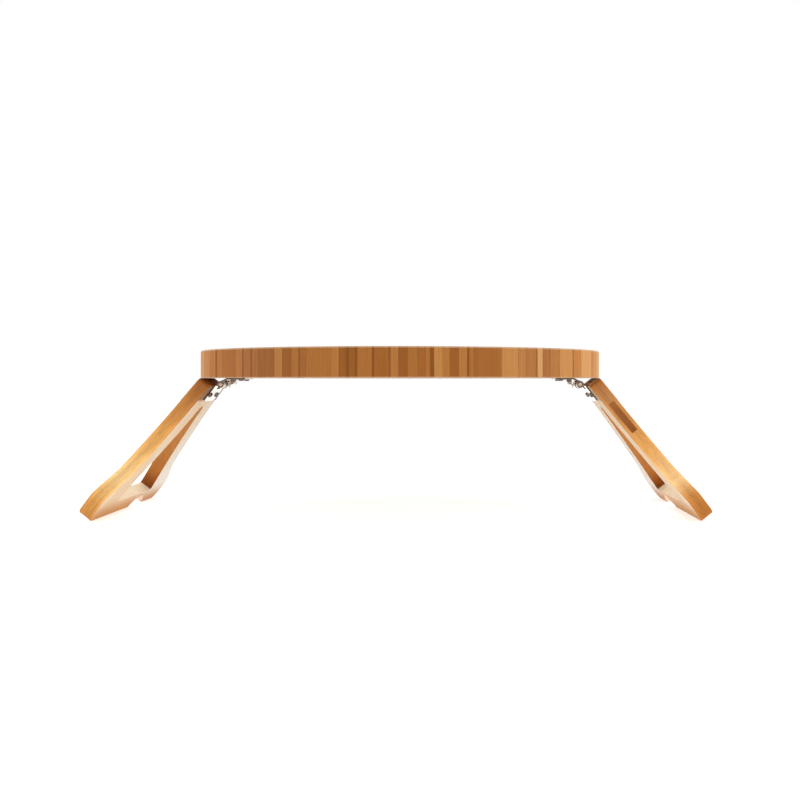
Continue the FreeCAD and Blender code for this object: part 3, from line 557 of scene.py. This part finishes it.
# the screws are coloured dark as painted shade and painted reflection in their heads
DARKENED_SCREW_STEEL = steel_material("screw_zinc_painted_dark", srgb(132, 124, 116), srgb(74, 68, 64), 0.32, Z_AXIS)
STEEL_PIECES = {
    "tray_leaf": NICKEL, "leg_leaf": NICKEL, "hinge_pin": PIN_STEEL, "catch_pin": PIN_STEEL,
    "spring_rivet": PIN_STEEL, "catch": CATCH_STEEL, "catch_spring": SPRING_STEEL,
    "tray_screws": DARKENED_SCREW_STEEL, "leg_screws": DARKENED_SCREW_STEEL,
}

front_strips, back_strips = strips(FRONT_STRIPS), more_strips(STRIP_SEEDS["back"], BACK_STRIP_COUNT)
for piece, listed in (("front", front_strips), ("back", back_strips)):
    wood = rim_material(f"{piece}_rim_wood", strip_stops(listed), seam_to_seam, 2 * SEAM_X)
    dress(f"rim_{piece}", wood)
dress("rim_dowels", dowel_material())
dress("tray_panel", panel_material())
for side in SIDES:
    dress(f"rim_{side}_end", rim_material(f"{side}_end_wood", end_stops(side), round_end(side), END_ARC))
    dress(f"{side}_leg", leg_material(side))
    for piece, steel in STEEL_PIECES.items():
        dress(f"{side}_{piece}", steel)
    for piece, width in SOFT_EDGES.items():
        soften(NODES[f"{side}_{piece}"], width * MM)

# ---------------------------------------------------------------- floor, background, light
WHITE = (1.0, 1.0, 1.0, 1.0)
SOFT_LIGHT, SOFT_COLOUR = 0.62, (1.0, 0.99, 0.97, 1.0)
FLOOR_HALF, FLOOR_DROP = 6.0, 0.5 * MM
FLOOR_PAINT = (0.90, 0.90, 0.90, 1.0)
# The floor's own glow, by the distance from the origin: weaker near the object, so that its shadow shows
GLOW_START, GLOW_END, GLOW_NEAR, GLOW_FAR = 0.45, 1.2, 0.56, 1.0
LAMP_AIM = (0.0, 0.0, 0.12)
# Place, power in watts and size of each lamp
LAMPS = {
    "key_right": ((1.8, -0.85, 0.45), 17.0, 0.9),
    "fill_left": ((-1.8, -0.85, 0.45), 13.0, 0.9),
    "top": ((0.0, 0.3, 2.0), 10.0, 1.4),
}


def make_world():
    """Soft light on the object, in front of a background that is seen as plain white."""
    world = bpy.data.worlds.new("studio")
    bpy.context.scene.world = world
    world.use_nodes = True
    nodes = Nodes(world.node_tree)
    soft = nodes.fed("ShaderNodeBackground", SOFT_COLOUR, SOFT_LIGHT)
    white = nodes.fed("ShaderNodeBackground", WHITE, 1.0)
    choice = nodes.fed("ShaderNodeMixShader", nodes.seen(), soft.outputs[0], white.outputs[0])
    nodes.fed("ShaderNodeOutputWorld", choice.outputs[0])


def floor_material():
    """White paint that also glows where it is seen, so that it runs into the white background."""
    material = bpy.data.materials.new("floor_white")
    material.use_nodes = True
    nodes = Nodes(material.node_tree)
    position = nodes.add("ShaderNodeNewGeometry").outputs["Position"]
    away = nodes.fed("ShaderNodeVectorMath", position, operation="LENGTH").outputs["Value"]
    strength = nodes.grade(away, GLOW_START, GLOW_END, GLOW_NEAR, GLOW_FAR)
    glow = nodes.fed("ShaderNodeEmission", WHITE, nodes.math("MULTIPLY", nodes.seen(), strength))
    paint = nodes.fed("ShaderNodeBsdfDiffuse", FLOOR_PAINT)
    both = nodes.fed("ShaderNodeAddShader", paint.outputs[0], glow.outputs[0])
    nodes.fed("ShaderNodeOutputMaterial", both.outputs[0])
    return material


def make_floor():
    mesh = bpy.data.meshes.new("floor")
    corners = [(x * FLOOR_HALF, y * FLOOR_HALF, -FLOOR_DROP) for x, y in ((-1, -1), (1, -1), (1, 1), (-1, 1))]
    mesh.from_pydata(corners, [], [(0, 1, 2, 3)])
    mesh.materials.append(floor_material())
    floor = bpy.data.objects.new("floor", mesh)
    bpy.context.scene.collection.objects.link(floor)


def make_lamp(name, place, power, size):
    light = bpy.data.lights.new(name, "AREA")
    light.energy = power
    light.shape = "DISK"
    light.size = size
    lamp = bpy.data.objects.new(name, light)
    lamp.location = place
    lamp.rotation_euler = (Vector(LAMP_AIM) - Vector(place)).to_track_quat("-Z", "Y").to_euler()
    bpy.context.scene.collection.objects.link(lamp)


def make_camera():
    """In front of the tray, level with its underside, a little right of its middle, looking straight back."""
    data = bpy.data.cameras.new("camera")
    data.sensor_width = 36.0
    data.lens = 33.07
    data.shift_x, data.shift_y = -0.0675, -0.0231
    data.clip_start, data.clip_end = 0.01, 50.0
    camera = bpy.data.objects.new("camera", data)
    camera.location = (0.074, -1.035, 0.1788)
    camera.rotation_euler = (math.radians(90.0), 0.0, 0.0)
    bpy.context.scene.collection.objects.link(camera)
    bpy.context.scene.camera = camera


bpy.context.scene.view_settings.view_transform = "Standard"
make_world()
make_floor()
for name, (place, power, size) in LAMPS.items():
    make_lamp(name, place, power, size)
make_camera()
